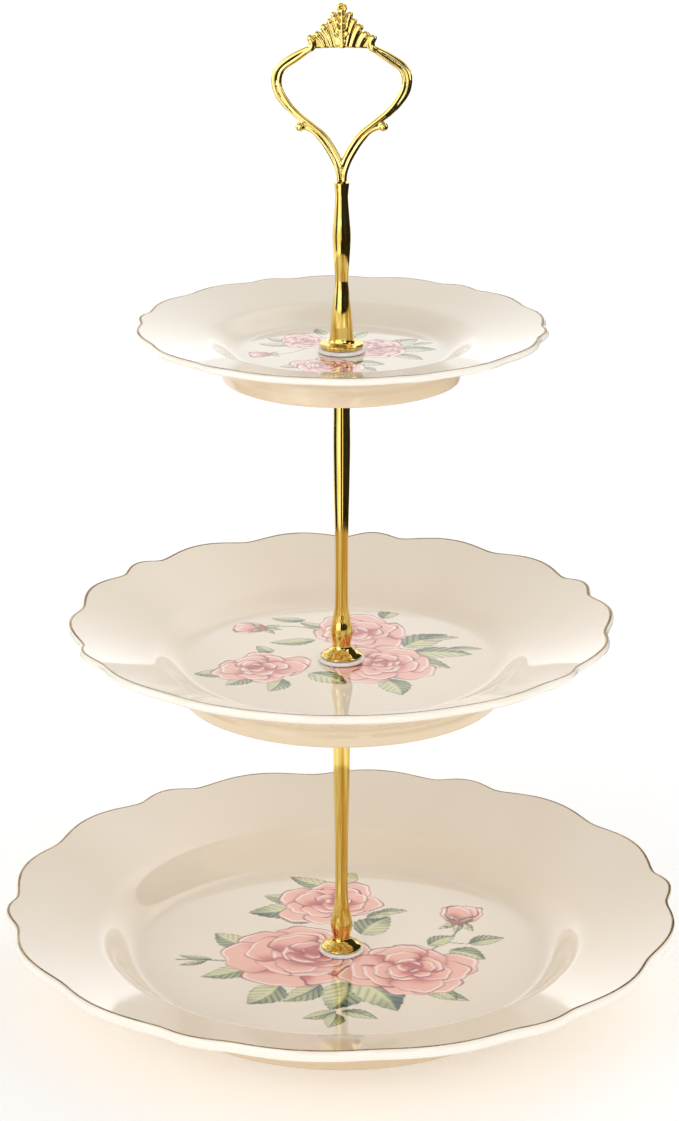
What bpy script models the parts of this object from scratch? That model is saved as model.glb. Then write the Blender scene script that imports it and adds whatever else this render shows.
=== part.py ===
"""Three-tier porcelain cake stand: scalloped plates clamped on a turned gold column with a crown handle.

Origin: centre of the bottom plate's foot ring, on the surface it stands on. +Z is up, and the crown handle
spreads along X. Dimensions are in millimetres and are scaled to metres where a mesh is made.
"""
import math

import bmesh
import bpy
from mathutils import Vector

MM = 0.001
GAP = 0.3  # clearance kept between touching pieces
SHARP_ANGLE = 35  # degrees, above which an edge is not shaded smooth
AXIS_SIZE = 10

# Plates: heights are measured from the surface that the stand rests on.
PLATES = {
    "bottom": dict(well_z=12.0, wall=5.5, foot_drop=6.5, well_r=78.0, shoulder_r=95.0, valley_r=125.3,
                   peak_r=128.2, rim_z=34.6, brim_slope=0.32, edge=4.6, foot_r=75.0, foot_w=3.4, turn=5.3),
    "middle": dict(well_z=132.8, wall=5.0, foot_drop=6.0, well_r=58.0, shoulder_r=72.0, valley_r=98.5,
                   peak_r=101.3, rim_z=149.8, brim_slope=0.38, edge=3.6, foot_r=60.0, foot_w=3.0, turn=22.5),
    "top": dict(well_z=253.1, wall=4.5, foot_drop=4.5, well_r=38.0, shoulder_r=50.0, valley_r=72.8,
                peak_r=74.2, rim_z=263.5, brim_slope=0.19, edge=2.9, foot_r=43.0, foot_w=2.4, turn=52.0),
}
HOLE_R = 4.5
ROLL = 1.5  # how far the rounded edge stands outside the crest of the rim
RISE_STEPS = (0.0, 0.3, 0.5, 0.7, 1.0)  # places along the rise from well to brim
EDGE_TOP = 0.3  # where the rounded edge starts and ends, as parts of its height
EDGE_END = 0.75
EDGE_TUCK = 0.5  # how far the edge's lower corner lies inside the crest, as a part of ROLL
UNDER_WALL = 0.9  # wall under the brim, as a part of the well's
UNDER_SHIFT = 0.3  # outward shift of the underside, as a part of that wall
FOOT_FILLET = 1.0
FOOT_FILLET_RISE = 0.5
FOOT_OUT_DRAFT = 0.2
FOOT_IN_DRAFT = 0.4
FOOT_IN_SPREAD = 0.6

# Scalloped rim: six repeats, each of one short lobe and two long ones.
REPEATS = 6
SHORT_LOBE = 13.0  # degrees
LONG_LOBE = 23.5
VALLEY_ROUNDING = 0.35
RIM_STEPS = 6  # mesh steps in each lobe of the rim
LOBES = 3 * REPEATS
RIM_COUNT = LOBES * RIM_STEPS
BODY_COUNT = RIM_COUNT // 2

# Column.
ROD_LEN = 111.3
GASKET = 1.2
UNDER_GASKET = 0.8
WASHER = 1.0
GASKET_R = 8.6
UNDER_GASKET_R = 9.5
WASHER_R = 8.5
RING_BORE_R = 2.3
STUD_R = 1.9
BORE_R = 2.2
BORE_DEPTH = 11.5
ENGAGED = 11.0  # stud length held in each end
STUD_TIP = 0.5  # chamfer
BOLT_HEAD_R = 6.5
BOLT_HEAD = 2.0
BOLT_DOME = [(0.0, 0.45), (0.25, 0.8), (0.75, 1.0)]  # parts of the head's height and radius
STEM_LEN = 61.0
SOCKET_R = 1.5
SOCKET_DEPTH = 6.3
TENON_R = 1.2
TENON_LEN = 6.0
SIDES = 24
SMALL_SIDES = 20
TENON_SIDES = 16

# Rod outline: height above the flange's underside, and radius.
ROD_OUTLINE = [(0.5, 7.8), (1.3, 6.9), (2.6, 4.9), (4.7, 3.45), (9.5, 4.3), (14.5, 3.4), (20.2, 2.6),
               (29.5, 2.42), (48.5, 2.57), (67.5, 3.0), (83.5, 3.25), (97.5, 3.15), (107.5, 3.65)]
ROD_FOOT_R = 7.3
ROD_TOP_R = 3.9
# Stem outline: the same, with a flat disc for a flange and a lip at the top.
STEM_OUTLINE = [(0.8, 7.95), (1.7, 7.6), (2.3, 4.7), (8.1, 4.0), (14.1, 3.44), (19.1, 2.9), (25.1, 2.4),
                (32.1, 2.9), (41.1, 3.35), (49.1, 2.8), (55.6, 2.35), (59.6, 2.7)]
STEM_FOOT_R = 7.5
STEM_TOP_R = 2.86

# Crown handle, in its own frame: x outwards, z above the stem's top.
INNER_STRAND = [(0.0, 5.6), (1.4, 9.1), (3.9, 13.7), (7.3, 18.0), (15.7, 24.9), (19.6, 29.5), (22.0, 34.2),
                (22.1, 38.1), (20.6, 41.2), (15.9, 44.5), (10.9, 48.2)]
INNER_HALF_WIDTH = [1.0, 0.95, 0.9, 0.9]
OUTER_BAND = [(13.6, 21.8), (17.2, 24.8), (20.6, 28.6), (23.3, 33.0), (23.9, 38.0), (22.0, 41.9),
              (17.2, 45.5), (12.2, 48.4)]
OUTER_HALF_WIDTH = [0.45, 0.8, 1.0, 1.05, 1.0, 0.85]
LEG_STRAND = [(0.9, 0.3), (1.1, 2.9), (1.7, 5.3), (2.8, 8.2), (4.6, 11.5), (7.1, 15.2), (10.3, 18.5),
              (14.4, 20.2)]
LEG_HALF_WIDTH = [0.95, 0.95, 1.05, 0.95, 0.7]
CURL_BALL = (14.9, 20.2)
CURL_BALL_R = 1.4
LEG_HALF_DEPTH = 1.4
INNER_HALF_DEPTH = 1.3
OUTER_HALF_DEPTH = 1.12

# Fan crown: each petal's root, bend and tip, and its half-width at the root and at the tip.
PETALS = [((1.0, 49.5), (1.7, 55.5), (3.0, 61.0), 0.5, 1.0),
          ((1.3, 49.0), (2.8, 54.0), (4.5, 58.2), 0.6, 0.9),
          ((3.0, 48.6), (4.6, 52.8), (6.2, 56.2), 0.7, 1.3),
          ((5.6, 48.5), (7.0, 51.4), (8.5, 53.6), 0.8, 1.2),
          ((9.8, 48.0), (10.3, 50.6), (11.5, 52.6), 0.9, 1.3)]
MIDRIB = [(0.0, 48.4), (0.0, 55.0), (0.0, 61.8)]
MIDRIB_HALF_WIDTH = [1.5, 1.1, 0.7]
WEB = [(11.2, 48.1), (10.6, 51.8), (7.6, 53.2), (4.9, 57.0), (2.4, 60.6), (0.0, 61.5)]
WEB_ARCH = 0.7  # rise of the crown's lower edge at the middle
WEB_BASE_STEPS = 6
WEB_BASE = 47.8
WEB_HALF_DEPTH = 0.8
CROWN_HALF_DEPTH = 1.5
MIDRIB_HALF_DEPTH = 1.65
TENON_OVERLAP = 1.5  # length of the tenon buried in the handle's legs
KNOB_Z = 62.5
KNOB_R = 1.95
STRAND_SIDES = 8
STRAND_STEPS = 2  # mesh steps between two points of a strand
PETAL_SIDES = 6

CREAM = (0.84, 0.77, 0.66)
GOLD = (0.90, 0.66, 0.24)
STEEL = (0.62, 0.62, 0.60)
WHITE_RUBBER = (0.86, 0.86, 0.84)


def clear_scene():
    for old in list(bpy.data.objects):
        bpy.data.objects.remove(old, do_unlink=True)


def material(name, colour, roughness, metallic):
    """A Principled material of one colour."""
    made = bpy.data.materials.new(name)
    made.use_nodes = True
    shader = made.node_tree.nodes["Principled BSDF"]
    shader.inputs["Base Color"].default_value = (*colour, 1.0)
    shader.inputs["Roughness"].default_value = roughness
    shader.inputs["Metallic"].default_value = metallic
    return made


def new_object(name, bm, look, parent, z):
    """A named object from a bmesh in metres, placed z mm up the column's axis."""
    bmesh.ops.recalc_face_normals(bm, faces=bm.faces)
    mesh = bpy.data.meshes.new(name)
    bm.to_mesh(mesh)
    bm.free()
    mesh.shade_smooth()
    mesh.set_sharp_from_angle(angle=math.radians(SHARP_ANGLE))
    mesh.materials.append(material(name + "_finish", *look))
    made = bpy.data.objects.new(name, mesh)
    bpy.context.scene.collection.objects.link(made)
    made.parent = parent
    if parent is not None:
        z -= parent.matrix_world.translation.z / MM
    made.location = (0.0, 0.0, z * MM)
    bpy.context.view_layer.update()
    return made


def axis_empty(name, parent, z):
    """An empty on the column's axis, which what turns or lifts about it is parented to."""
    made = bpy.data.objects.new(name, None)
    made.empty_display_size = AXIS_SIZE * MM
    bpy.context.scene.collection.objects.link(made)
    made.parent = parent
    if parent is not None:
        z -= parent.matrix_world.translation.z / MM
    made.location = (0.0, 0.0, z * MM)
    bpy.context.view_layer.update()
    return made


def ring(bm, count, place):
    """A ring of vertices, place(angle) giving each one's radius and height in mm."""
    verts = []
    for i in range(count):
        angle = 2 * math.pi * i / count
        radius, z = place(angle)
        verts.append(bm.verts.new((radius * MM * math.cos(angle), radius * MM * math.sin(angle), z * MM)))
    return verts


def band(bm, a, b):
    """Faces between two rings, the second of which may have twice the first one's vertices, or half."""
    if len(a) > len(b):
        a, b = b, a
    count = len(a)
    for i in range(count):
        j = (i + 1) % count
        if len(b) == count:
            bm.faces.new((a[i], a[j], b[j], b[i]))
        else:
            first, middle, last = b[2 * i], b[2 * i + 1], b[(2 * i + 2) % len(b)]
            bm.faces.new((a[i], middle, first))
            bm.faces.new((a[i], a[j], middle))
            bm.faces.new((a[j], last, middle))


def cap(bm, verts):
    bm.faces.new(verts)


def turned(outline, count=SIDES):
    """The wall of a body of revolution, and its rings, one for each (radius, height) of the outline."""
    bm = bmesh.new()
    rings = [ring(bm, count, lambda angle, p=point: p) for point in outline]
    for a, b in zip(rings, rings[1:]):
        band(bm, a, b)
    return bm, rings


def turned_ring(outline, count=SIDES):
    """As turned(), with a bore: the outline's last point joins its first."""
    bm, rings = turned(outline, count)
    band(bm, rings[-1], rings[0])
    return bm


def turned_solid(outline, count=SIDES):
    """As turned(), without a bore: both ends are closed flat."""
    bm, rings = turned(outline, count)
    cap(bm, rings[0])
    cap(bm, rings[-1])
    return bm


def lobe_height(angle, turn):
    """Height of the scalloped outline at an angle, from 0 in a valley to 1 on a lobe."""
    period = 360.0 / REPEATS
    along = (math.degrees(angle) - turn + SHORT_LOBE / 2) % period
    if along < SHORT_LOBE:
        part = along / SHORT_LOBE
    else:
        part = ((along - SHORT_LOBE) % LONG_LOBE) / LONG_LOBE
    crest = math.hypot(1.0, VALLEY_ROUNDING) - VALLEY_ROUNDING
    return (math.hypot(math.sin(math.pi * part), VALLEY_ROUNDING) - VALLEY_ROUNDING) / crest


def top_height(size, radius):
    """Height of a plate's upper surface: flat well, S-shaped rise, straight sloping brim."""
    middle_r = (size["valley_r"] + size["peak_r"]) / 2
    slope = size["brim_slope"]
    if radius >= size["shoulder_r"]:
        return size["rim_z"] - slope * (middle_r - radius)
    if radius <= size["well_r"]:
        return size["well_z"]
    run = size["shoulder_r"] - size["well_r"]
    rise = size["rim_z"] - slope * (middle_r - size["shoulder_r"]) - size["well_z"]
    t = (radius - size["well_r"]) / run
    return size["well_z"] + rise * t * t * (3 - 2 * t) + slope * run * (t ** 3 - t ** 2)


def plate_mesh(size, base_z):
    """A scalloped plate with a centre hole and a foot ring, its heights counted from base_z."""
    foot_z = size["well_z"] - size["wall"] - size["foot_drop"]
    recess_z = size["well_z"] - size["wall"]
    well_r = size["well_r"]
    shoulder_r = size["shoulder_r"]
    run = shoulder_r - well_r
    foot_out = size["foot_r"] + size["foot_w"] / 2
    foot_in = size["foot_r"] - size["foot_w"] / 2
    edge = size["edge"]

    def round_ring(radius, z):
        return ring(bm, BODY_COUNT, lambda angle: (radius, z - base_z))

    def rim_ring(inset, drop):
        """A ring inside the rim's crest by inset and below the brim's surface by drop."""
        def place(angle):
            height = lobe_height(angle, size["turn"])
            radius = size["valley_r"] + (size["peak_r"] - size["valley_r"]) * height
            return radius - inset, top_height(size, radius) - drop - base_z
        return ring(bm, RIM_COUNT, place)

    bm = bmesh.new()
    rings = [round_ring(HOLE_R, size["well_z"])]
    rises = [well_r + run * t for t in RISE_STEPS]
    rings += [round_ring(radius, top_height(size, radius)) for radius in rises]
    rings += [rim_ring(0.0, 0.0), rim_ring(-ROLL, EDGE_TOP * edge), rim_ring(-ROLL, EDGE_END * edge)]
    rings += [rim_ring(EDGE_TUCK * ROLL, edge)]
    wall = UNDER_WALL * size["wall"]
    for radius in (shoulder_r, (foot_out + shoulder_r) / 2):
        rings += [round_ring(radius + UNDER_SHIFT * wall, top_height(size, radius) - wall)]
    rings += [round_ring(foot_out + FOOT_FILLET, recess_z - FOOT_FILLET_RISE)]
    rings += [round_ring(foot_out - FOOT_OUT_DRAFT, foot_z), round_ring(foot_in + FOOT_IN_DRAFT, foot_z)]
    rings += [round_ring(foot_in - FOOT_IN_SPREAD, recess_z)]
    rings += [round_ring(HOLE_R, recess_z)]
    for a, b in zip(rings, rings[1:] + rings[:1]):
        band(bm, a, b)
    return bm


def column_mesh(outline, foot_r, length, top_r, top_bore_r, top_bore_depth):
    """A turned column with its foot at 0 and a blind bore in each end."""
    points = [(BORE_R, BORE_DEPTH), (BORE_R, 0.0), (foot_r, 0.0)]
    points += [(radius, height) for height, radius in outline]
    points += [(top_r, length), (top_bore_r, length), (top_bore_r, length - top_bore_depth)]
    return turned_solid(points)


def washer_mesh(radius, thickness):
    outline = [(RING_BORE_R, 0.0), (radius, 0.0), (radius, thickness), (RING_BORE_R, thickness)]
    return turned_ring(outline, SMALL_SIDES)


def stud_mesh(length):
    outline = [(STUD_R - STUD_TIP, 0.0), (STUD_R, STUD_TIP), (STUD_R, length - STUD_TIP)]
    outline += [(STUD_R - STUD_TIP, length)]
    return turned_solid(outline, SMALL_SIDES)


def bolt_mesh(length):
    """A domed head with its flat side at BOLT_HEAD, and a shank above it."""
    outline = [(part * BOLT_HEAD_R, height * BOLT_HEAD) for height, part in BOLT_DOME]
    outline += [(BOLT_HEAD_R, BOLT_HEAD)]
    outline += [(STUD_R, BOLT_HEAD), (STUD_R, length - STUD_TIP), (STUD_R - STUD_TIP, length)]
    return turned_solid(outline, SMALL_SIDES)


def smooth_path(points, steps):
    """Points on a Catmull-Rom curve through the given ones."""
    ends = [2 * points[0] - points[1]] + points + [2 * points[-1] - points[-2]]
    path = []
    for p0, p1, p2, p3 in zip(ends, ends[1:], ends[2:], ends[3:]):
        for i in range(steps):
            t = i / steps
            path.append(0.5 * (2 * p1 + (p2 - p0) * t + (2 * p0 - 5 * p1 + 4 * p2 - p3) * t * t
                               + (3 * p1 - p0 - 3 * p2 + p3) * t ** 3))
    path.append(points[-1])
    return path


def spread(values, count):
    """Values read evenly along a short list, with straight lines between its entries."""
    result = []
    for i in range(count):
        place = i * (len(values) - 1) / (count - 1)
        low = min(int(place), len(values) - 2)
        result.append(values[low] + (values[low + 1] - values[low]) * (place - low))
    return result


def strand_mesh(side, points, half_widths, half_depth, sides=STRAND_SIDES):
    """A strand of oval section along a curve in the XZ plane, mirrored where side is -1."""
    path = smooth_path([Vector((side * x, 0.0, z)) for x, z in points], STRAND_STEPS)
    widths = spread(half_widths, len(path))
    bm = bmesh.new()
    rings = []
    for i, (centre, width) in enumerate(zip(path, widths)):
        ahead = path[min(i + 1, len(path) - 1)] - path[max(i - 1, 0)]
        across = Vector((ahead.z, 0.0, -ahead.x)).normalized()
        loop = []
        for k in range(sides):
            angle = 2 * math.pi * k / sides
            offset = across * width * math.cos(angle) + Vector((0.0, half_depth * math.sin(angle), 0.0))
            loop.append(bm.verts.new((centre + offset) * MM))
        rings.append(loop)
    for a, b in zip(rings, rings[1:]):
        band(bm, a, b)
    cap(bm, rings[0])
    cap(bm, rings[-1])
    return bm


def ball_mesh(x, z, radius):
    bm = bmesh.new()
    bmesh.ops.create_icosphere(bm, subdivisions=2, radius=radius * MM)
    for vert in bm.verts:
        vert.co += Vector((x, 0.0, z)) * MM
    return bm


def web_mesh():
    """The crown's thin fan-shaped back plate."""
    right = [(x, z) for x, z in WEB]
    left = [(-x, z) for x, z in reversed(WEB[:-1])]
    base = []
    half_span = WEB[0][0]
    for i in range(1, WEB_BASE_STEPS):
        x = half_span * (2 * i / WEB_BASE_STEPS - 1)
        base.append((x, WEB_BASE + WEB_ARCH * math.cos(0.5 * math.pi * x / half_span)))
    bm = bmesh.new()
    front = [bm.verts.new((x * MM, -WEB_HALF_DEPTH * MM, z * MM)) for x, z in right + left + base]
    back = [bm.verts.new((x * MM, WEB_HALF_DEPTH * MM, z * MM)) for x, z in right + left + base]
    band(bm, front, back)
    cap(bm, front)
    cap(bm, back)
    return bm


def united(meshes):
    """The Boolean union of several closed meshes, as one bmesh."""
    helpers = []
    for bm in meshes:
        bmesh.ops.recalc_face_normals(bm, faces=bm.faces)
        mesh = bpy.data.meshes.new("helper")
        bm.to_mesh(mesh)
        bm.free()
        helper = bpy.data.objects.new("helper", mesh)
        bpy.context.scene.collection.objects.link(helper)
        helpers.append(helper)
    for other in helpers[1:]:
        join = helpers[0].modifiers.new("join", "BOOLEAN")
        join.operation = "UNION"
        join.solver = "EXACT"
        join.object = other
    bpy.context.view_layer.update()
    result = bmesh.new()
    result.from_object(helpers[0], bpy.context.evaluated_depsgraph_get())
    for helper in helpers:
        bpy.data.objects.remove(helper, do_unlink=True)
    return result


def crown_mesh():
    """The scroll loop, its curled legs, the fan crown, and the tenon that goes into the stem."""
    pieces = [web_mesh()]
    for side in (-1, 1):
        pieces.append(strand_mesh(side, LEG_STRAND, LEG_HALF_WIDTH, LEG_HALF_DEPTH))
        pieces.append(strand_mesh(side, INNER_STRAND, INNER_HALF_WIDTH, INNER_HALF_DEPTH))
        pieces.append(strand_mesh(side, OUTER_BAND, OUTER_HALF_WIDTH, OUTER_HALF_DEPTH))
        pieces.append(ball_mesh(side * CURL_BALL[0], CURL_BALL[1], CURL_BALL_R))
        for root, bend, tip, root_width, tip_width in PETALS:
            petal = [root, bend, tip]
            pieces.append(strand_mesh(side, petal, [root_width, tip_width], CROWN_HALF_DEPTH, PETAL_SIDES))
    pieces.append(strand_mesh(1, MIDRIB, MIDRIB_HALF_WIDTH, MIDRIB_HALF_DEPTH))
    pieces.append(ball_mesh(0.0, KNOB_Z, KNOB_R))
    pieces.append(turned_solid([(TENON_R, GAP - TENON_LEN), (TENON_R, TENON_OVERLAP)], TENON_SIDES))
    return united(pieces)


def build():
    clear_scene()
    porcelain = (CREAM, 0.08, 0.0)
    gold = (GOLD, 0.08, 1.0)
    steel = (STEEL, 0.3, 1.0)
    rubber = (WHITE_RUBBER, 0.55, 0.0)

    bottom, middle, top = PLATES["bottom"], PLATES["middle"], PLATES["top"]
    flange_rise = GASKET + 2 * GAP
    lower_rod_z = bottom["well_z"] + flange_rise
    upper_rod_z = middle["well_z"] + flange_rise
    stem_z = top["well_z"] + flange_rise
    stem_top_z = stem_z + STEM_LEN

    new_object("bottom_plate", plate_mesh(bottom, 0.0), porcelain, None, 0.0)

    under_z = bottom["well_z"] - bottom["wall"] - GAP - UNDER_GASKET
    new_object("bottom_under_gasket", washer_mesh(UNDER_GASKET_R, UNDER_GASKET), rubber, None, under_z)
    washer_z = under_z - GAP - WASHER
    new_object("bottom_washer", washer_mesh(WASHER_R, WASHER), steel, None, washer_z)
    bolt_z = washer_z - GAP - BOLT_HEAD
    new_object("base_bolt", bolt_mesh(lower_rod_z + ENGAGED - bolt_z), steel, None, bolt_z)

    carrier = None
    rods = (("lower", "bottom", lower_rod_z, middle, "middle"), ("upper", "middle", upper_rod_z, top, "top"))
    for name, below, rod_z, above, above_name in rods:
        lift = axis_empty(name + "_rod_lift_axis", carrier, rod_z)
        gasket_z = rod_z - GAP - GASKET
        new_object(below + "_flange_gasket", washer_mesh(GASKET_R, GASKET), rubber, lift, gasket_z)
        turn = axis_empty(name + "_rod_turn_axis", lift, rod_z)
        rod = column_mesh(ROD_OUTLINE, ROD_FOOT_R, ROD_LEN, ROD_TOP_R, BORE_R, BORE_DEPTH)
        new_object(name + "_rod", rod, gold, turn, rod_z)
        rod_top = rod_z + ROD_LEN
        stud_z = rod_top - ENGAGED
        next_flange = above["well_z"] + flange_rise
        new_object(name + "_stud", stud_mesh(next_flange + ENGAGED - stud_z), steel, turn, stud_z)
        new_object(above_name + "_washer", washer_mesh(WASHER_R, WASHER), steel, turn, rod_top + GAP)
        under = washer_mesh(UNDER_GASKET_R, UNDER_GASKET)
        new_object(above_name + "_under_gasket", under, rubber, turn, rod_top + 2 * GAP + WASHER)
        plate = plate_mesh(above, above["well_z"])
        new_object(above_name + "_plate", plate, porcelain, turn, above["well_z"])
        carrier = turn

    lift = axis_empty("handle_lift_axis", carrier, stem_z)
    new_object("top_flange_gasket", washer_mesh(GASKET_R, GASKET), rubber, lift, stem_z - GAP - GASKET)
    turn = axis_empty("handle_turn_axis", lift, stem_z)
    stem = column_mesh(STEM_OUTLINE, STEM_FOOT_R, STEM_LEN, STEM_TOP_R, SOCKET_R, SOCKET_DEPTH)
    new_object("handle_stem", stem, gold, turn, stem_z)
    new_object("crown_handle", crown_mesh(), gold, turn, stem_top_z)


build()
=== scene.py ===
"""Looks of the three-tier cake stand: glazed porcelain plates with a gold line round the rim and a printed rose
spray in the well, a mirror-bright gold column, and a cast crown handle.

Lengths are in millimetres unless they end in _m, and MM turns them into metres.
"""
import math

import bmesh
import bpy
import numpy as np
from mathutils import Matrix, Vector


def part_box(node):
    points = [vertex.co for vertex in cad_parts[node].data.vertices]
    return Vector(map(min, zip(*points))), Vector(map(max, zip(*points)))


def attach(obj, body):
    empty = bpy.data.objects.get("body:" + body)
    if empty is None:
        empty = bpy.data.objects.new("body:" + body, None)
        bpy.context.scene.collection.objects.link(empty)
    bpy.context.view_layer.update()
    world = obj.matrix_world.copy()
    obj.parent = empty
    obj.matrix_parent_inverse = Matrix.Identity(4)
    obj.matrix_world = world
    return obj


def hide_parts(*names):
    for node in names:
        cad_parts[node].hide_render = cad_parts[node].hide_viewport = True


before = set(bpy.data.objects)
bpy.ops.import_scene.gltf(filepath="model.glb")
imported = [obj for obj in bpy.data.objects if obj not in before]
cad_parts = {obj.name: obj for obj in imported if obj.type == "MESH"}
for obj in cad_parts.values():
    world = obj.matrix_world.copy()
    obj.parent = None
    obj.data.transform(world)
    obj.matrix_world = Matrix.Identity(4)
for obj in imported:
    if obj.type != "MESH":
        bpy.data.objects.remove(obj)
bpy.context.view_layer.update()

MM = 0.001

# Plates, as the CAD model has them.
PLATES = {
    "bottom": dict(well_z=12.0, wall=5.5, foot_drop=6.5, well_r=78.0, shoulder_r=95.0, valley_r=125.3,
                   peak_r=128.2, rim_z=34.6, brim_slope=0.32, edge=4.6, foot_r=75.0, foot_w=3.4, turn=5.3),
    "middle": dict(well_z=132.8, wall=5.0, foot_drop=6.0, well_r=58.0, shoulder_r=72.0, valley_r=98.5,
                   peak_r=101.3, rim_z=149.8, brim_slope=0.38, edge=3.6, foot_r=60.0, foot_w=3.0, turn=22.5),
    "top": dict(well_z=253.1, wall=4.5, foot_drop=4.5, well_r=38.0, shoulder_r=50.0, valley_r=72.8,
                peak_r=74.2, rim_z=263.5, brim_slope=0.19, edge=2.9, foot_r=43.0, foot_w=2.4, turn=52.0),
}
HOLE_R = 4.5
HOLE_ROUNDING = 0.4
HOLE_EASE = 0.3  # where the middle of the rounding lies, as a part of it
ROLL = 1.5  # how far the rounded edge stands outside the crest of the rim
REPEATS = 6
SHORT_LOBE = 13.0  # degrees
LONG_LOBE = 23.5
VALLEY_ROUNDING = 0.35
UNDER_WALL = 0.9
UNDER_SHIFT = 0.3

# Mesh of a plate: rings of 108 vertices, doubled as they grow. PRINT gives the printed part of each well,
# which needs a vertex every fraction of a millimetre, as its radius and the distance between its rings.
FIRST_COUNT = 108
PRINT = {"bottom": (73.0, 0.56), "middle": (57.0, 0.43), "top": (36.0, 0.28)}
WIDEST_STEP = 1.3  # longest edge along a ring, as a part of the distance between rings
BODY_COUNT = 432
BODY_STEP = 1.9
EDGE_ARCS = 12
LINE_INSIDE = 0.2  # the gold line, from inside the crest to this far round the edge
LINE_ARCS = 2
# Section of the foot ring with its shallow bead: side of the ring, how far outside it, level, how far above it.
FOOT_SECTION = [("outer", 0.35, "join", -0.6), ("outer", 0.05, "middle", 0.9), ("outer", 0.25, "middle", 0.35),
                ("outer", 0.22, "middle", -0.3), ("outer", 0.0, "base", 0.7), ("outer", -0.3, "base", 0.15),
                ("outer", -0.7, "base", 0.0), ("inner", 0.7, "base", 0.0), ("inner", 0.2, "base", 0.2),
                ("inner", 0.0, "base", 0.7), ("inner", -0.15, "recess", -0.7), ("inner", -0.4, "recess", -0.2)]
FOOT_FILLET = 1.2  # from the foot ring's outer side to where the underside of the well starts
RECESS_INSET = 1.0
RECESS_SHARE = 0.9  # part of the recess over which its rings thin out

# Column.
SIDES = 96
ROD_LEN = 111.3
STEM_LEN = 61.0
BORE_R = 2.2
BORE_DEPTH = 11.5
SOCKET_R = 1.5
SOCKET_DEPTH = 6.3
ROD_FOOT_R = 7.3
ROD_TOP_R = 3.9
STEM_FOOT_R = 7.5
STEM_TOP_R = 2.86
# Outlines: height above the flange's underside, and radius.
ROD_OUTLINE = [(0.5, 7.8), (1.3, 6.9), (2.6, 4.9), (4.7, 3.45), (9.5, 4.3), (14.5, 3.4), (20.2, 2.6),
               (29.5, 2.42), (48.5, 2.57), (67.5, 3.0), (83.5, 3.25), (97.5, 3.15), (107.5, 3.65)]
STEM_OUTLINE = [(0.8, 7.95), (1.7, 7.6), (2.3, 4.7), (8.1, 4.0), (14.1, 3.44), (19.1, 2.9), (25.1, 2.4),
                (32.1, 2.9), (41.1, 3.35), (49.1, 2.8), (55.6, 2.35), (59.6, 2.7)]
OUTLINE_STEPS = 8
PITCH = 0.7
THREAD_R = 1.95
THREAD_DEPTH = 0.38
THREAD_STEPS = 8  # mesh steps in each turn's height
THREAD_SIDES = 40
THREAD_FADE = 1.0  # length over which the thread runs out at an end
THREAD_TAPER = 0.25  # how much thinner an end is
SHARP_TURNED = 40.0  # degrees between faces from which an edge is drawn sharp
SHARP_THREAD = 50.0
RING_BORE_R = 2.3
RING_ROUNDING = 0.22
CORNER_ARCS = 4
BOLT_HEAD_R = 6.5
BOLT_HEAD = 2.0
BOLT_DOME = [(0.0, 1.5), (0.06, 3.2), (0.5, 5.2), (1.3, 6.4), (1.75, BOLT_HEAD_R)]  # height and radius
BOLT_DOME_STEPS = 5
BOLT_BEVEL = 0.15
BOLT_NECK = 0.1  # how far the neck stands outside the thread, and its length
BOLT_NECK_LEN = 0.4
RECESS_HALF_W = 0.7
RECESS_HALF_LEN = 3.0
RECESS_DEPTH = 1.1
RECESS_TAPER = 0.7

# Crown handle, in its own frame: x outwards, z above the stem's top.
INNER_STRAND = [(0.0, 5.6), (1.4, 9.1), (3.9, 13.7), (7.3, 18.0), (15.7, 24.9), (19.6, 29.5), (22.0, 34.2),
                (22.1, 38.1), (20.6, 41.2), (15.9, 44.5), (10.9, 48.2)]
INNER_HALF_WIDTH = [1.05, 1.0, 1.0, 1.0]
INNER_HALF_DEPTH = [1.3, 1.25, 1.2, 1.2]
OUTER_BAND = [(13.6, 21.8), (17.2, 24.8), (20.6, 28.6), (23.3, 33.0), (23.9, 38.0), (22.0, 41.9),
              (17.2, 45.5), (11.9, 48.3)]
OUTER_HALF_WIDTH = [0.45, 0.9, 1.15, 1.2, 1.15, 0.9]
OUTER_HALF_DEPTH = [0.8, 1.05, 1.12, 1.12, 1.05]
OUTER_SQUARENESS = 2.8
LEG_STRAND = [(0.9, 0.3), (1.1, 2.9), (1.7, 5.3), (2.8, 8.2), (4.6, 11.5), (7.1, 15.2), (10.3, 18.5),
              (14.4, 20.2)]
LEG_HALF_WIDTH = [0.95, 0.95, 1.05, 0.95, 0.7]
LEG_HALF_DEPTH = [1.4, 1.4, 1.3, 1.1, 0.8]
CURL_BALL = (14.9, 20.2)
CURL_BALL_R = 1.7
CURL_WEB = [(9.6, 18.9), (11.8, 20.1), (13.9, 21.3)]  # closes the slit between the curled leg and the loop
CURL_WEB_HALF_WIDTH = [0.5, 0.9, 0.8]
CURL_WEB_HALF_DEPTH = [0.7, 0.7, 0.7]
# Petals of the crown: root, bend, tip, half-width at the root and at the tip.
PETALS = [((1.0, 49.5), (1.8, 55.5), (3.0, 60.2), 0.5, 1.1),
          ((1.7, 49.0), (3.0, 54.0), (4.4, 57.8), 0.6, 1.1),
          ((3.4, 48.7), (4.8, 52.8), (6.3, 55.6), 0.8, 1.4),
          ((6.1, 48.6), (7.2, 51.2), (8.6, 53.1), 0.9, 1.3)]
PETAL_HALF_DEPTH = [1.0, 1.35]
PETAL_BULB = 1.04  # radius of a petal's rounded tip, as a part of its half-width there
PETAL_BULB_DEPTH = 1.5
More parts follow.
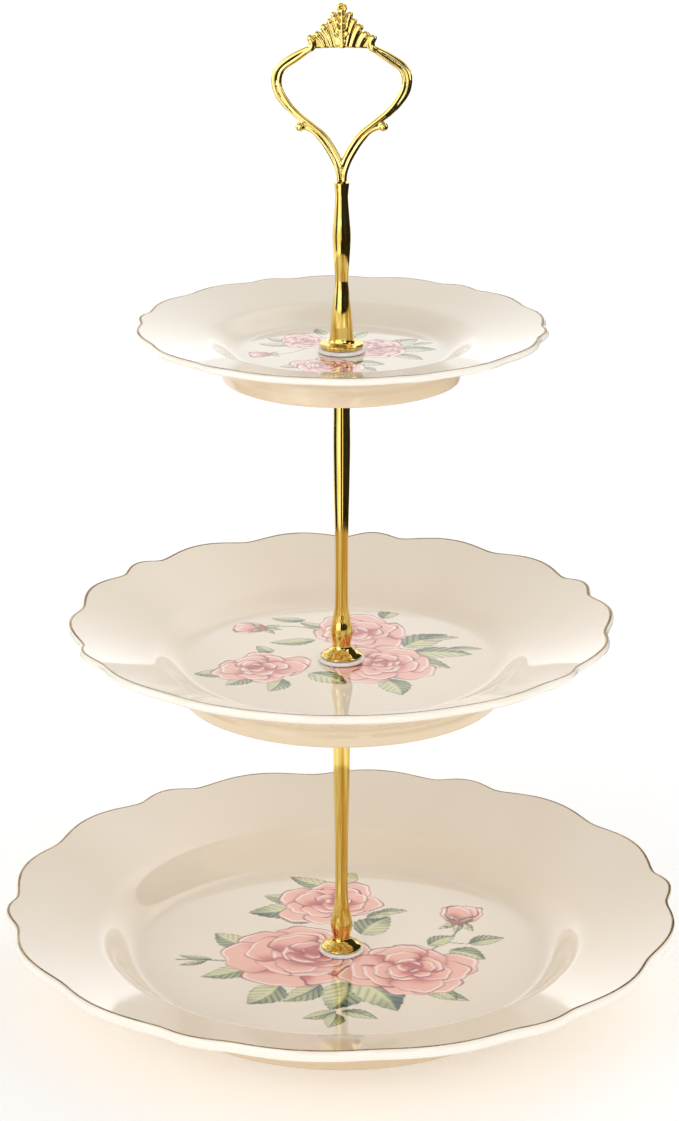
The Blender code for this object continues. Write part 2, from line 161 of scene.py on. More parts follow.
# Corner volute: it leaves the end of the scroll, leans in and hooks out again.
VOLUTE = [(12.2, 47.3), (10.9, 48.1), (10.4, 49.7), (10.6, 51.0), (11.1, 51.9)]
VOLUTE_HALF_WIDTH = [0.9, 1.25, 1.35, 1.5, 1.45]
VOLUTE_HALF_DEPTH = [1.3, 1.35, 1.35, 1.5, 1.5]
VOLUTE_END = (1.45, 1.6, 1.3)  # half-width, half-depth and half-height of the ball that ends it
LEG_WEB = [(0.0, 0.5), (0.0, 3.4), (0.0, 6.6)]
LEG_WEB_HALF_WIDTH = [0.7, 0.8, 0.7]
LEG_WEB_HALF_DEPTH = [0.8, 0.8, 0.7]
KNOB_RING_R = 1.3
KNOB_TUBE = 0.68
KNOB_HALF_DEPTH = 1.5
KNOB_RING_STEPS = 10
KNOB_FLOOR = (1.1, 0.9, 1.1)  # ball that closes the knob's ring
KNOB_LIP = (0.75, 0.8, 1.0)  # smaller ball in front of it
KNOB_LIP_FORWARD = 1.0
KNOB_LIP_DROP = 0.9
WEB = [(11.4, 48.1), (11.0, 51.4), (8.0, 53.0), (5.6, 55.7), (3.7, 58.2), (2.2, 60.6), (0.0, 61.4)]
WEB_FOOT = [(-5.5, 48.3), (0.0, 48.5), (5.5, 48.3)]
WEB_HALF_DEPTH = 0.55
MIDRIB = [(0.0, 48.4), (0.0, 55.0), (0.0, 61.5)]
MIDRIB_HALF_WIDTH = [1.15, 0.8, 0.5]
MIDRIB_HALF_DEPTH = [1.85, 1.75, 1.6]
CHEVRONS = 4
CHEVRON_FIRST = 51.6
CHEVRON_RISE = 2.3
CHEVRON_REACH = 2.4
CHEVRON_SHRINK = 0.12  # how much shorter each is, as a part of the first
CHEVRON_START = 0.2
CHEVRON_BEND = 0.9  # heights of its bend and its tip above its root
CHEVRON_TIP = 2.3
CHEVRON_HALF_WIDTH = [0.5, 0.32]
CHEVRON_HALF_DEPTH = [1.55, 1.3]
KNOB_Z = 62.5
TENON_R = 1.2
TENON = [(0.0, -5.7), (0.0, -2.0), (0.0, 1.5)]
STRAND_SIDES = 20
STRAND_STEPS = 9
CROWN_VOXEL = 0.19
CROWN_SMOOTHING = 7

# Colours, as seen on a screen.
CREAM = (0.918, 0.874, 0.806)
CREAM_WARM = (0.905, 0.855, 0.780)
# Painted shade: a darker, warmer tint over the plates' undersides, and how much of the glaze it covers.
UNDER_SHADE_TINT = (0.865, 0.775, 0.640)
UNDER_SHADE_COVER = 0.75
# Painted highlight: a whiter tint over the plates' rolled edges, and how much of the glaze it covers.
EDGE_HIGHLIGHT_TINT = (0.955, 0.940, 0.905)
EDGE_HIGHLIGHT_COVER = 0.6
ROD_GOLD = (0.975, 0.885, 0.520)
ROD_GOLD_DEEP = (0.830, 0.640, 0.270)
CAST_GOLD = (0.970, 0.880, 0.570)
CAST_GOLD_DEEP = (0.930, 0.810, 0.460)
# Painted shade in the casting's hollows: its colour, and the distance in mm over which hollows are found.
HOLLOW_SHADE_GOLD = (0.400, 0.300, 0.140)
HOLLOW_SHADE_REACH = 1.4
LINE_GOLD = (0.680, 0.560, 0.360)
LINE_BROWN = (0.470, 0.390, 0.260)
STEEL = (0.800, 0.800, 0.790)
STEEL_DARK = (0.680, 0.680, 0.675)
RUBBER = (0.965, 0.965, 0.955)
RUBBER_GREY = (0.910, 0.910, 0.900)
PETAL_LIGHT = (0.945, 0.760, 0.695)
PETAL_LIP = (0.995, 0.925, 0.885)
PETAL_MID = (0.890, 0.610, 0.545)
PETAL_DEEP = (0.725, 0.350, 0.335)
PETAL_LINE = (0.470, 0.160, 0.190)
LEAF_LIGHT = (0.835, 0.830, 0.640)
LEAF_MID = (0.600, 0.635, 0.455)
LEAF_DARK = (0.250, 0.310, 0.285)
LEAF_LINE = (0.150, 0.180, 0.175)
STEM_GREEN = (0.560, 0.590, 0.400)


def linear(colour):
    """A screen colour as the renderer's linear one."""
    shown = np.asarray(colour, dtype=float)
    return np.where(shown <= 0.04045, shown / 12.92, ((shown + 0.055) / 1.055) ** 2.4)


# ---------------------------------------------------------------- materials

class Finish:
    """A Principled material and the nodes that feed it."""

    def __init__(self, name, **constants):
        self.material = bpy.data.materials.new(name)
        self.material.use_nodes = True
        self.tree = self.material.node_tree
        self.shader = self.tree.nodes["Principled BSDF"]
        for socket, value in constants.items():
            self.shader.inputs[socket.replace("_", " ")].default_value = value
        self.place = self.tree.nodes.new("ShaderNodeTexCoord")

    def noise(self, scale, detail=3.0, stretch=(1.0, 1.0, 1.0)):
        """Noise in the object's own space, scale being its cells in a metre."""
        mapping = self.tree.nodes.new("ShaderNodeMapping")
        mapping.inputs["Scale"].default_value = stretch
        self.tree.links.new(self.place.outputs["Object"], mapping.inputs["Vector"])
        node = self.tree.nodes.new("ShaderNodeTexNoise")
        node.inputs["Scale"].default_value = scale
        node.inputs["Detail"].default_value = detail
        self.tree.links.new(mapping.outputs["Vector"], node.inputs["Vector"])
        return node.outputs["Fac"]

    def span(self, value, low, high, start=0.35, end=0.65):
        """A value from start to end, taken to one from low to high."""
        node = self.tree.nodes.new("ShaderNodeMapRange")
        node.inputs["From Min"].default_value = start
        node.inputs["From Max"].default_value = end
        node.inputs["To Min"].default_value = low
        node.inputs["To Max"].default_value = high
        self.tree.links.new(value, node.inputs["Value"])
        return node.outputs["Result"]

    def blend(self, share, first, second):
        """Two colours, either constant or from a node, mixed by a share."""
        node = self.tree.nodes.new("ShaderNodeMix")
        node.data_type = "RGBA"
        for socket, colour in ((node.inputs[6], first), (node.inputs[7], second)):
            if isinstance(colour, tuple):
                socket.default_value = (*linear(colour), 1.0)
            else:
                self.tree.links.new(colour, socket)
        self.tree.links.new(share, node.inputs[0])
        return node.outputs[2]

    def feed(self, socket, value):
        self.tree.links.new(value, self.shader.inputs[socket])

    def bump(self, height, distance, strength):
        node = self.tree.nodes.new("ShaderNodeBump")
        node.inputs["Distance"].default_value = distance * MM
        node.inputs["Strength"].default_value = strength
        self.tree.links.new(height, node.inputs["Height"])
        self.feed("Normal", node.outputs["Normal"])


def porcelain_finish():
    """Cream glaze, with the mesh's own colours under it: the printed spray, a painted highlight on the rolled
    edge and painted shade on the underside.
    """
    made = Finish("porcelain_glaze", IOR=1.5, Coat_Weight=0.2, Coat_Roughness=0.05)
    tone = made.span(made.noise(14.0, 2.0), 0.0, 1.0)
    # The mesh's colour layer: the printed spray, painted highlight on the rolled edges and painted shade on the
    # undersides.
    printed = made.tree.nodes.new("ShaderNodeAttribute")
    printed.attribute_name = "print_and_painted_light"
    glaze = made.blend(tone, CREAM, CREAM_WARM)
    made.feed("Base Color", made.blend(printed.outputs["Alpha"], glaze, printed.outputs["Color"]))
    made.feed("Roughness", made.span(made.noise(60.0), 0.035, 0.075))
    made.bump(made.noise(38.0, 1.0), 0.25, 0.12)
    return made.material


def mottled_finish(name, first, second, tone, rough, grain, **constants):
    """Two colours mixed by noise. tone is that noise's scale, rough is a scale and the lowest and highest
    roughness, and grain is a scale, a height in mm and a strength."""
    made = Finish(name, **constants)
    made.feed("Base Color", made.blend(made.span(made.noise(tone), 0.0, 1.0), first, second))
    rough_scale, low, high = rough
    made.feed("Roughness", made.span(made.noise(rough_scale), low, high))
    grain_scale, distance, strength = grain
    made.bump(made.noise(grain_scale), distance, strength)
    return made.material


def rod_gold_finish():
    """Mirror-bright gold plating over a drawn rod, whose fine lines run up it."""
    made = Finish("polished_gold", Metallic=1.0)
    lines = made.noise(1000.0, 2.0, (1.0, 1.0, 0.01))
    made.feed("Base Color", made.blend(made.span(lines, 0.0, 1.0, 0.42, 0.60), ROD_GOLD, ROD_GOLD_DEEP))
    made.feed("Roughness", made.span(made.noise(240.0), 0.035, 0.085))
    made.bump(lines, 0.03, 0.3)
    return made.material


def cast_gold_finish():
    """Gold plating over a casting, bright where it is polished, with painted shade darkening its hollows."""
    made = Finish("cast_gold", Metallic=1.0)
    polished = made.blend(made.span(made.noise(160.0), 0.0, 1.0), CAST_GOLD, CAST_GOLD_DEEP)
    # Painted shade: ambient occlusion darkens the gold in hollows and grooves.
    shade = made.tree.nodes.new("ShaderNodeAmbientOcclusion")
    shade.inputs["Distance"].default_value = HOLLOW_SHADE_REACH * MM
    painted_hollow_shade = made.span(shade.outputs["AO"], 0.9, 0.0, 0.35, 0.75)
    made.feed("Base Color", made.blend(painted_hollow_shade, polished, HOLLOW_SHADE_GOLD))
    made.feed("Roughness", made.span(made.noise(640.0), 0.035, 0.085))
    made.bump(made.noise(300.0, 1.0), 0.03, 0.05)
    return made.material


# ---------------------------------------------------------------- the printed spray

def smooth(low, high, value):
    """0 below low, 1 above high, and a smooth step between them; low may be the greater."""
    t = np.clip((value - low) / (high - low), 0.0, 1.0)
    return t * t * (3 - 2 * t)


def mixed(first, second, share):
    return np.asarray(first) * (1 - share[:, None]) + np.asarray(second) * share[:, None]


class Spray:
    """Colour and cover of a printed spray at points x, y."""

    def __init__(self, x, y):
        self.x = x
        self.y = y
        self.colour = np.ones((len(x), 3))
        self.cover = np.zeros(len(x))

    def near(self, x, y, reach):
        """The points within reach of a place."""
        return np.nonzero((abs(self.x - x) < reach) & (abs(self.y - y) < reach))[0]

    def lay(self, chosen, colour, cover):
        """Lays colour over what is there."""
        cover = cover[:, None]
        old = self.cover[chosen][:, None]
        total = cover + old * (1 - cover)
        under = self.colour[chosen] * old * (1 - cover)
        self.colour[chosen] = (colour * cover + under) / np.maximum(total, 1e-6)
        self.cover[chosen] = total[:, 0]

    def local(self, chosen, x, y, angle):
        """The chosen points, along and across a direction from a place."""
        dx, dy = self.x[chosen] - x, self.y[chosen] - y
        along = dx * math.cos(angle) + dy * math.sin(angle)
        return along, dy * math.cos(angle) - dx * math.sin(angle)


def petal(spray, x, y, length, width, angle, tone, wave):
    """A petal whose outer lip points along angle. tone is 0 for a pale one and 1 for a deep one."""
    chosen = spray.near(x, y, max(length, width) * 1.25)
    u, v = spray.local(chosen, x, y, angle)
    u, v = u / length, v / width
    around = np.arctan2(v, u)
    shape = 1 + 0.07 * np.sin(3 * around + wave) + 0.04 * np.sin(7 * around + 2.3 * wave)
    shape += 0.09 * np.exp(-((around / 0.35) ** 2)) * math.sin(wave * 1.7)
    inside = (1 - np.hypot(u, v) / shape) * min(length, width)
    fold = np.sin(3.1 * v + wave + 1.5 * u)
    depth = np.clip(0.3 - 0.75 * u + 0.175 * fold + tone * 0.5, 0, 1)
    colour = mixed(PETAL_MID, PETAL_DEEP, smooth(0.3, 0.85, depth) * 0.95)
    colour = mixed(colour, PETAL_LIGHT, smooth(0.75, 0.25, depth + 0.25 * abs(v)) * (0.75 - 0.5 * tone))
    lip = smooth(0.35, 0.8, inside) * smooth(2.1, 1.2, inside) * smooth(-0.1, 0.45, u)
    lip *= smooth(1.1, 0.3, abs(v + 0.35 * math.sin(2.1 * wave)))
    colour = mixed(colour, PETAL_LIP, lip * 0.9)
    line = smooth(1.05, 0.4, inside) * (0.35 + 0.65 * smooth(-0.2, 0.9, np.sin(around * 2 + wave)))
    colour = mixed(colour, PETAL_LINE, line * 0.9)
    spray.lay(chosen, colour, smooth(0.0, 0.35, inside))


# Rings of petals of an open rose: distance from the heart, length, width, number, tone.
ROSE_RINGS = [(0.62, 0.46, 0.50, 6, 0.10), (0.47, 0.38, 0.43, 6, 0.25), (0.33, 0.30, 0.34, 5, 0.40),
              (0.19, 0.23, 0.26, 4, 0.60), (0.08, 0.15, 0.16, 3, 0.85)]


def rose(spray, x, y, wide, deep, turn, lean=(0.0, 0.0)):
    """An open rose seen a little from the side, outermost petals first, its heart moved by lean."""
    number = 0
    for place, length, width, count, tone in ROSE_RINGS:
        near_heart = 1 - place / ROSE_RINGS[0][0]
        for k in range(count):
            number += 1
            angle = turn + 2 * math.pi * (k + (0.37 * number) % 1 * 0.6) / count + 3.5 * place
            jitter = 0.5 + 0.5 * math.sin(number * 12.9898 + turn * 7.0)
            out = place * (0.92 + 0.2 * jitter)
            px = x + wide / 2 * (out * math.cos(angle) + lean[0] * near_heart)
            py = y + deep / 2 * (out * math.sin(angle) + lean[1] * near_heart)
            size = 0.9 + 0.3 * math.sin(number * 4.1 + turn)
            petal_width = deep / 2 * width * (0.9 + 0.25 * jitter)
            petal(spray, px, py, wide / 2 * length * size, petal_width, angle, tone, number * 1.3 + turn)
    heart_x, heart_y = x + wide / 2 * lean[0], y + deep / 2 * lean[1]
    heart = spray.near(heart_x, heart_y, wide * 0.2)
    dx = (spray.x[heart] - heart_x) / wide * 2
    dy = (spray.y[heart] - heart_y) / deep * 2
    far = np.hypot(dx, dy)
    curl = np.sin(26 * far - 2.0 * np.arctan2(dy, dx) + turn)
    tint = mixed(PETAL_LINE, PETAL_DEEP, 0.5 + 0.5 * curl)
    spray.lay(heart, tint, smooth(0.0, 0.8, curl) * smooth(0.2, 0.12, far) * 0.8)


def leaf(spray, x, y, length, width, angle, tone, teeth=7):
    """A toothed leaf whose base is at x, y. tone is 0 for a pale one and 1 for a dark one."""
    middle_x, middle_y = x + length / 2 * math.cos(angle), y + length / 2 * math.sin(angle)
    chosen = spray.near(middle_x, middle_y, length * 0.75)
    u, v = spray.local(chosen, x, y, angle)
    u = u / length
    v = v / width * 2 - 0.22 * np.sin(math.pi * u)
    along = np.clip(u, 0.0, 1.0)
    saw = (along * teeth) % 1.0
    half = np.sin(math.pi * along ** 0.78) ** 0.85 * (1 + 0.16 * (saw - 0.5))
    inside = (half - abs(v)) * width / 2
    side = np.where(v > 0, 1.0, 0.0)
    vein = np.exp(-(((((u - 0.33 * abs(v)) * teeth * 0.9) % 1.0) - 0.5) / 0.16) ** 2)
    shade = 0.12 + 0.42 * tone + 0.5 * (side - 0.5) + 0.25 * np.sin(5.5 * u + 3 * tone)
    colour = mixed(LEAF_LIGHT, LEAF_MID, smooth(0.0, 0.5, shade))
    colour = mixed(colour, LEAF_DARK, smooth(0.45, 1.0, shade) * 0.95)
    colour = mixed(colour, LEAF_LINE, vein * (0.3 + 0.4 * side) * smooth(0.0, 0.3, abs(v)))
    rib = smooth(0.10, 0.03, abs(v)) * smooth(1.0, 0.7, u)
    colour = mixed(colour, LEAF_LIGHT if tone > 0.5 else LEAF_LINE, rib * 0.75)
    line = smooth(0.75, 0.3, inside) * (0.4 + 0.6 * side)
    colour = mixed(colour, LEAF_LINE, line * 0.8)
    spray.lay(chosen, colour, smooth(0.0, 0.3, inside) * (u > 0) * (u < 1))


STEM_PARTS = 32


def stem(spray, start, bend, end, thick):
    """A curved stem from start to end, drawn by the distance from its middle line."""
    t = np.linspace(0.0, 1.0, STEM_PARTS + 1)[:, None]
    line = (1 - t) ** 2 * np.array(start) + 2 * t * (1 - t) * np.array(bend) + t * t * np.array(end)
    middle = line.mean(axis=0)
    reach = np.abs(line - middle).max() + 2 * thick
    chosen = spray.near(middle[0], middle[1], reach)
    points = np.stack([spray.x[chosen], spray.y[chosen]], axis=1)
    far = np.full(len(chosen), np.inf)
    below = np.zeros(len(chosen))
    for a, b in zip(line, line[1:]):
        along = np.clip((points - a) @ (b - a) / np.dot(b - a, b - a), 0.0, 1.0)
        offset = points - a - along[:, None] * (b - a)
        distance = np.hypot(offset[:, 0], offset[:, 1])
        below = np.where(distance < far, -offset[:, 1] / thick, below)
        far = np.minimum(far, distance)
    spray.lay(chosen, mixed(STEM_GREEN, LEAF_DARK, smooth(-0.3, 0.9, below)), smooth(thick, thick * 0.5, far))


def bud(spray, x, y, size, angle):
    """A half-open bud that points along angle, with its calyx."""
    base_x, base_y = x - 0.12 * size * math.cos(angle), y - 0.12 * size * math.sin(angle)
    for spread, tone in ((-0.7, 0.2), (0.7, 0.6), (0.0, 0.4)):
        leaf(spray, base_x, base_y, 0.5 * size, 0.2 * size, angle + math.pi + spread, tone, 3)
    for k, spread in enumerate((-0.62, 0.62, -0.25, 0.25)):
        a = angle + spread
        px, py = x + 0.16 * size * math.cos(a), y + 0.16 * size * math.sin(a)
        petal(spray, px, py, 0.42 * size, 0.26 * size, a, 0.08 * k, k * 2.1 + 0.4)
    for spread in (-0.85, 0.85):
        leaf(spray, base_x, base_y, 0.42 * size, 0.13 * size, angle + spread, 0.5, 3)


# Sprays, with x to the right and y to the back. Leaves: x and y of the base, length, width, direction in
# degrees, tone. Roses: x, y, width, depth, turn, lean. Stems: start, bend, end, half-thickness.
# Buds: x, y, size, direction in degrees.
SPRAYS = {
    "bottom": dict(
        stems=[((-30, -12), (-48, -8), (-64, -8), 0.6), ((30, -4), (44, 8), (47, 22), 0.6),
               ((40, 8), (50, 4), (56, 8), 0.4)],
        leaves=[(-2, 58, 22, 10, 150, 0.6), (2, 60, 17, 9, 80, 0.7), (-16, 40, 22, 14, 195, 0.9),
                (-18, 47, 14, 9, 165, 0.3), (8, 14, 20, 15, 55, 0.9), (10, 30, 12, 7, 20, 0.3),
                (14, 34, 13, 6, 10, 0.3), (-36, 4, 18, 12, 140, 0.6), (-12, 26, 14, 7, 160, 0.5),
                (-24, -30, 20, 15, 235, 0.7), (-8, -30, 20, 12, 225, 0.4), (2, -28, 24, 18, 255, 0.8),
                (6, -26, 30, 19, 300, 0.9), (-2, -52, 14, 7, 205, 0.2), (0, -52, 15, 7, 335, 0.3),
                (-2, -54, 12, 8, 255, 0.2), (-34, -14, 22, 11, 205, 0.6), (34, 4, 14, 9, 40, 0.6),
                (42, 0, 16, 11, 330, 0.7), (50, 6, 15, 9, 20, 0.4), (32, -36, 18, 8, 335, 0.5),
                (36, -34, 12, 7, 310, 0.7), (-50, -8, 14, 4, 165, 0.3), (-52, -9, 12, 4, 200, 0.2)],
        roses=[(-5, 44, 44, 37, 0.3, (0.15, 0.1)), (-18, -5, 50, 54, 1.9, (0.3, 0.15)),
               (26, -17, 50, 46, 4.1, (0.05, 0.15))],
        buds=[(47, 29, 22, 80)]),
    "middle": dict(
        stems=[((-8, 32), (-18, 40), (-26, 36), 0.5)],
        leaves=[(24, 14, 22, 14, 40, 0.9), (26, 8, 24, 12, -5, 0.6), (22, 2, 22, 10, -30, 0.5),
                (30, 22, 16, 6, 10, 0.2), (40, 12, 14, 5, 0, 0.2), (16, -20, 18, 12, -70, 0.6),
                (-12, -14, 18, 12, -40, 0.8), (-22, -20, 14, 9, -110, 0.3), (-40, -12, 16, 9, 190, 0.7),
                (-34, -16, 14, 9, 230, 0.5), (-10, 22, 18, 8, 190, 0.6), (-6, 36, 12, 6, 150, 0.5),
                (-14, 44, 14, 6, 170, 0.3), (16, 46, 14, 8, 60, 0.5), (-26, 8, 10, 6, 130, 0.3)],
        roses=[(7, 30, 38, 34, 0.9, (-0.2, 0.1)), (-29, -8, 36, 30, 2.4, (-0.2, 0.05)),
               (13, -4, 44, 38, 5.1, (0.1, 0.1))],
        buds=[(-33, 35, 17, 170)]),
    "top": dict(
        stems=[((-12, 6), (-18, -3), (-24, -4), 0.35), ((20, 6), (28, 10), (33, 12), 0.3)],
        leaves=[(19, 8, 14, 9, 48, 0.8), (20, 2, 15, 9, 5, 0.9), (19, -4, 13, 7, -35, 0.5),
                (26, 10, 9, 4, 15, 0.3), (4, -16, 12, 8, -10, 0.7), (6, -22, 9, 6, -45, 0.4),
                (-18, 10, 13, 6, 175, 0.6), (-20, 15, 9, 5, 150, 0.3), (-14, -18, 9, 6, 200, 0.6),
                (4, 18, 12, 6, 60, 0.5), (-6, 24, 10, 5, 110, 0.4)],
        roses=[(-14, 15, 20, 19, 0.7, (0.1, 0.0)), (13, 5, 21, 28, 3.2, (0.1, 0.1)),
               (-5, -20, 23, 23, 5.4, (-0.1, 0.1))],
        buds=[(-28, -4, 11, 185)]),
}


def painted(name, x, y):
    """Linear colour and cover of a plate's spray at points x, y."""
    spray = Spray(x, y)
    plan = SPRAYS[name]
    for start, bend, end, thick in plan["stems"]:
        stem(spray, start, bend, end, thick)
    for leaf_x, leaf_y, length, width, degrees, tone in plan["leaves"]:
        leaf(spray, leaf_x, leaf_y, length, width, math.radians(degrees), tone)
    for rose_plan in plan["roses"]:
        rose(spray, *rose_plan)
    for bud_x, bud_y, size, degrees in plan["buds"]:
        bud(spray, bud_x, bud_y, size, math.radians(degrees))
    return np.column_stack([linear(spray.colour), spray.cover])


# ---------------------------------------------------------------- plates

def lobe_height(angle, turn):
    """Height of the scalloped outline at angles, from 0 in a valley to 1 on a lobe."""
    along = (np.degrees(angle) - turn + SHORT_LOBE / 2) % (360.0 / REPEATS)
    long_part = ((along - SHORT_LOBE) % LONG_LOBE) / LONG_LOBE
    part = np.where(along < SHORT_LOBE, along / SHORT_LOBE, long_part)
    crest = math.hypot(1.0, VALLEY_ROUNDING) - VALLEY_ROUNDING
    return (np.hypot(np.sin(math.pi * part), VALLEY_ROUNDING) - VALLEY_ROUNDING) / crest


def top_height(size, radius):
    """Height of a plate's upper surface: flat well, S-shaped rise, straight sloping brim."""
    middle_r = (size["valley_r"] + size["peak_r"]) / 2
    slope = size["brim_slope"]
    run = size["shoulder_r"] - size["well_r"]
    rise = size["rim_z"] - slope * (middle_r - size["shoulder_r"]) - size["well_z"]
    t = np.clip((radius - size["well_r"]) / run, 0.0, 1.0)
    curve = size["well_z"] + rise * t * t * (3 - 2 * t) + slope * run * (t ** 3 - t ** 2)
    return curve + slope * np.maximum(radius - size["shoulder_r"], 0.0)


class Rings:
    """A closed skin of rings about Z, each with the last one's number of vertices, twice it or half of it."""

    def __init__(self):
        self.points = []
        self.starts = []
        self.counts = []
        self.total = 0

    def add(self, count, radius, height):
        """radius is a number or a function of angle; height is a number or a function of radius."""
        angle = 2 * math.pi * np.arange(count) / count
        far = radius(angle) if callable(radius) else np.full(count, float(radius))
        z = height(far) if callable(height) else np.full(count, float(height))
        self.points.append(np.column_stack([far * np.cos(angle), far * np.sin(angle), z]))
        self.starts.append(self.total)
        self.counts.append(count)
        self.total += count

    def faces(self, closed):
        """Faces between each ring and the next, and the number of the ring that each starts from."""
        result = []
        owner = []
        number = len(self.counts)
        for k in range(number if closed else number - 1):
            following = (k + 1) % number
            a, b = self.starts[k], self.starts[following]
            n, m = self.counts[k], self.counts[following]
            before = len(result)
            for i in range(min(n, m)):
                if n == m:
                    j = (i + 1) % n
                    result.append((a + i, b + i, b + j, a + j))
                elif m == 2 * n:
                    j, far, last = (i + 1) % n, b + 2 * i + 1, b + (2 * i + 2) % m
                    result += [(a + i, b + 2 * i, far), (a + i, far, a + j), (a + j, far, last)]
                else:
                    j, far, last = (i + 1) % m, a + 2 * i + 1, a + (2 * i + 2) % n
                    result += [(a + 2 * i, b + i, far), (far, b + i, b + j), (far, b + j, last)]
            owner += [k] * (len(result) - before)
        return result, owner


def placed(name, data):
    """A new object in the scene."""
    made = bpy.data.objects.new(name, data)
    bpy.context.scene.collection.objects.link(made)
    return made


def new_piece(name, points, faces, materials, body, *nodes):
    """A smooth-shaded piece from points in mm, which rides on a body and replaces CAD nodes."""
    mesh = bpy.data.meshes.new(name)
    mesh.from_pydata([tuple(p) for p in np.asarray(points) * MM], [], faces)
    mesh.shade_smooth()
    for material in materials:
        mesh.materials.append(material)
    piece = placed(name, mesh)
    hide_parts(*nodes)
    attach(piece, body)
    return piece


def steps_between(start, end, step):
    """Evenly spaced values after start, up to and with end."""
    count = max(1, math.ceil((end - start) / step))
    return [start + (end - start) * (i + 1) / count for i in range(count)]


def plate(name, body, materials):
    """A glazed plate: its upper side from the hole to the rim, then its underside back to the hole."""
    size = PLATES[name]
    print_r, step = PRINT[name]
    rings = Rings()
    count = FIRST_COUNT
    well_z, recess_z = size["well_z"], size["well_z"] - size["wall"]
    foot_z = recess_z - size["foot_drop"]
    shoulder_r, edge = size["shoulder_r"], size["edge"]

    def surface(radius):
        return top_height(size, radius)

    rings.add(count, HOLE_R, well_z - HOLE_ROUNDING)
    rings.add(count, HOLE_R + HOLE_EASE * HOLE_ROUNDING, well_z - HOLE_EASE * HOLE_ROUNDING)
    rings.add(count, HOLE_R + HOLE_ROUNDING, well_z)
    for radius in steps_between(HOLE_R + HOLE_ROUNDING, print_r, step):
        if 2 * math.pi * radius / count > WIDEST_STEP * step:
            count *= 2
        rings.add(count, radius, surface)
    while count > BODY_COUNT:
        count //= 2
        print_r += BODY_STEP / 2
        rings.add(count, print_r, surface)
    for radius in steps_between(print_r, shoulder_r, BODY_STEP):
        rings.add(count, radius, surface)

    def crest(angle):
        return size["valley_r"] + (size["peak_r"] - size["valley_r"]) * lobe_height(angle, size["turn"])

    brim = size["peak_r"] - shoulder_r
    shares = steps_between(0.0, 1.0 - LINE_INSIDE / brim, BODY_STEP / brim)
    for share in shares:
        rings.add(count, lambda angle, s=share: shoulder_r + s * (crest(angle) - shoulder_r), surface)
    line_start = len(rings.counts) - 1

    def edge_ring(inset, drop):
        rings.add(count, lambda angle: crest(angle) - inset, lambda radius: surface(radius) - drop)

    for k in range(EDGE_ARCS + 1):
        around = math.pi * k / EDGE_ARCS
        edge_ring(-ROLL * math.sin(around), edge / 2 * (1 - math.cos(around)))
    line_end = line_start + 1 + LINE_ARCS

    wall = UNDER_WALL * size["wall"]
    foot_out = size["foot_r"] + size["foot_w"] / 2
    foot_in = size["foot_r"] - size["foot_w"] / 2
    under_r = shoulder_r + UNDER_SHIFT * wall
    for share in steps_between(0.0, 1.0, BODY_STEP / brim)[:-1]:
        thick = edge + share * (wall - edge)
        rings.add(count, lambda angle, s=share: crest(angle) + s * (under_r - crest(angle)),
                  lambda radius, t=thick, s=share: surface(radius - s * UNDER_SHIFT * wall) - t)
    foot_top_r = foot_out + FOOT_FILLET + UNDER_SHIFT * wall
    inwards = [under_r + foot_top_r - r for r in steps_between(foot_top_r, under_r, BODY_STEP)]
    for radius in [under_r] + inwards:
        rings.add(count, radius, surface(radius - UNDER_SHIFT * wall) - wall)
    foot_join_z = surface(foot_top_r - UNDER_SHIFT * wall) - wall
    side_r = {"outer": foot_out, "inner": foot_in}
    level = {"join": foot_join_z, "middle": (foot_join_z + foot_z) / 2, "base": foot_z, "recess": recess_z}
    for which_side, outside, which_level, above in FOOT_SECTION:
        rings.add(count, side_r[which_side] + outside, level[which_level] + above)
    recess_r = foot_in - RECESS_INSET
    rings.add(count, recess_r, recess_z)
    while count > FIRST_COUNT:
        count //= 2
        rings.add(count, recess_r - (foot_in - HOLE_R) * (1 - count / BODY_COUNT) * RECESS_SHARE, recess_z)
    rings.add(count, HOLE_R + HOLE_ROUNDING, recess_z)
    rings.add(count, HOLE_R, recess_z + HOLE_ROUNDING)

    points = np.concatenate(rings.points)
    faces, owner = rings.faces(closed=True)
    made = new_piece(name + "_glazed_plate", points, faces, materials, body, name + "_plate")
    owner = np.array(owner)
    on_line = (owner >= line_start) & (owner < line_end)
    made.data.polygons.foreach_set("material_index", on_line.astype(np.int32))
    colours = np.zeros((len(points), 4))
    # Painted highlight: the rolled edge of the rim is tinted whiter.
    colours[rings.starts[line_end]:] = (*linear(EDGE_HIGHLIGHT_TINT), EDGE_HIGHLIGHT_COVER)
    # Painted shade: the underside, foot and recess are tinted darker and warmer.
    colours[rings.starts[line_start + EDGE_ARCS + 2]:] = (*linear(UNDER_SHADE_TINT), UNDER_SHADE_COVER)
    in_print = np.hypot(points[:, 0], points[:, 1]) < PRINT[name][0]
    printed = np.nonzero(in_print & (points[:, 2] > recess_z + 1))[0]
    colours[printed] = painted(name, points[printed, 0], points[printed, 1])
    layer = made.data.color_attributes.new("print_and_painted_light", "FLOAT_COLOR", "POINT")
    layer.data.foreach_set("color", colours.ravel())


# ---------------------------------------------------------------- column

def smooth_path(points, steps):
    """Points on a Catmull-Rom curve through the given ones."""
    given = [np.array(p, dtype=float) for p in points]
    ends = [2 * given[0] - given[1]] + given + [2 * given[-1] - given[-2]]
    path = []
    for p0, p1, p2, p3 in zip(ends, ends[1:], ends[2:], ends[3:]):
        for i in range(steps):
            t = i / steps
            path.append(0.5 * (2 * p1 + (p2 - p0) * t + (2 * p0 - 5 * p1 + 4 * p2 - p3) * t * t
                               + (3 * p1 - p0 - 3 * p2 + p3) * t ** 3))
    path.append(given[-1])
    return path


